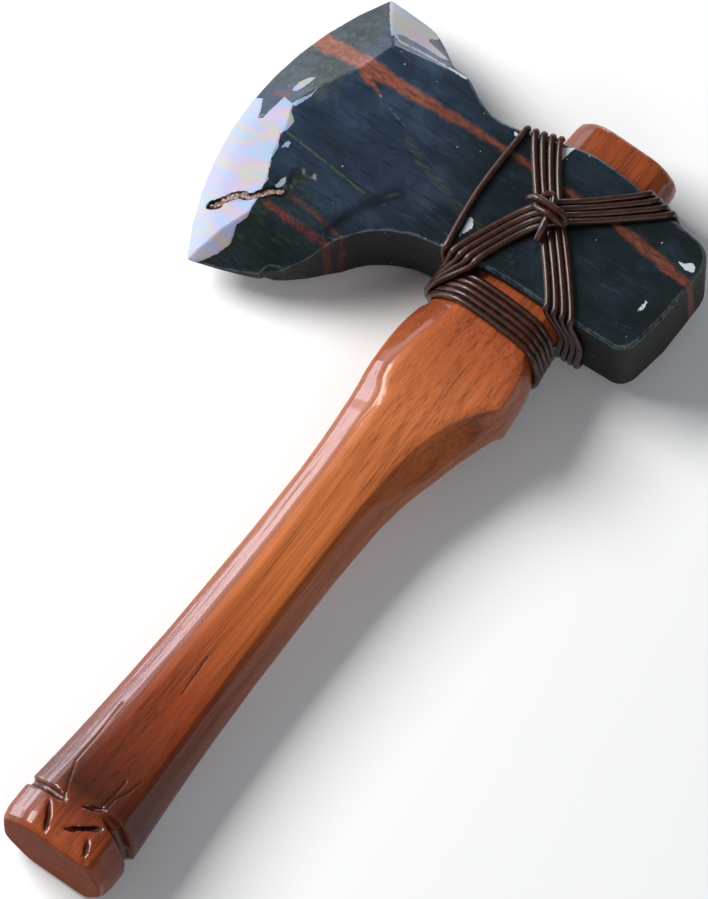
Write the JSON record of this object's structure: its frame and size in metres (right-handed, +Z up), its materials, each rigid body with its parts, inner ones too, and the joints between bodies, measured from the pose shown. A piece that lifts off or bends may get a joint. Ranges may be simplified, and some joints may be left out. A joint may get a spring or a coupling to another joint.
{
  "type": "hafted stone axe",
  "caption": "Ground stone axe head with a crescent cutting edge, let onto a carved wooden handle and lashed crosswise with leather cord",
  "frame": {"origin": "centre of the bounding box, at its lowest level, as the axe lies on its back", "axes": "+Y from the butt of the handle to the head, +X from the cutting edge to the poll, +Z up out of the front cheek"},
  "size_m": [0.1808, 0.3554, 0.052],
  "materials": {
    "polished_stone": "gloss",
    "varnished_wood": "gloss",
    "leather_cord": "satin"
  },
  "bodies": {
    "root": {"stone_head": "polished_stone", "handle": "varnished_wood", "cross_lashing": "leather_cord", "neck_wrap": "leather_cord", "crossing_knot": "leather_cord"}
  },
  "joints": []
}
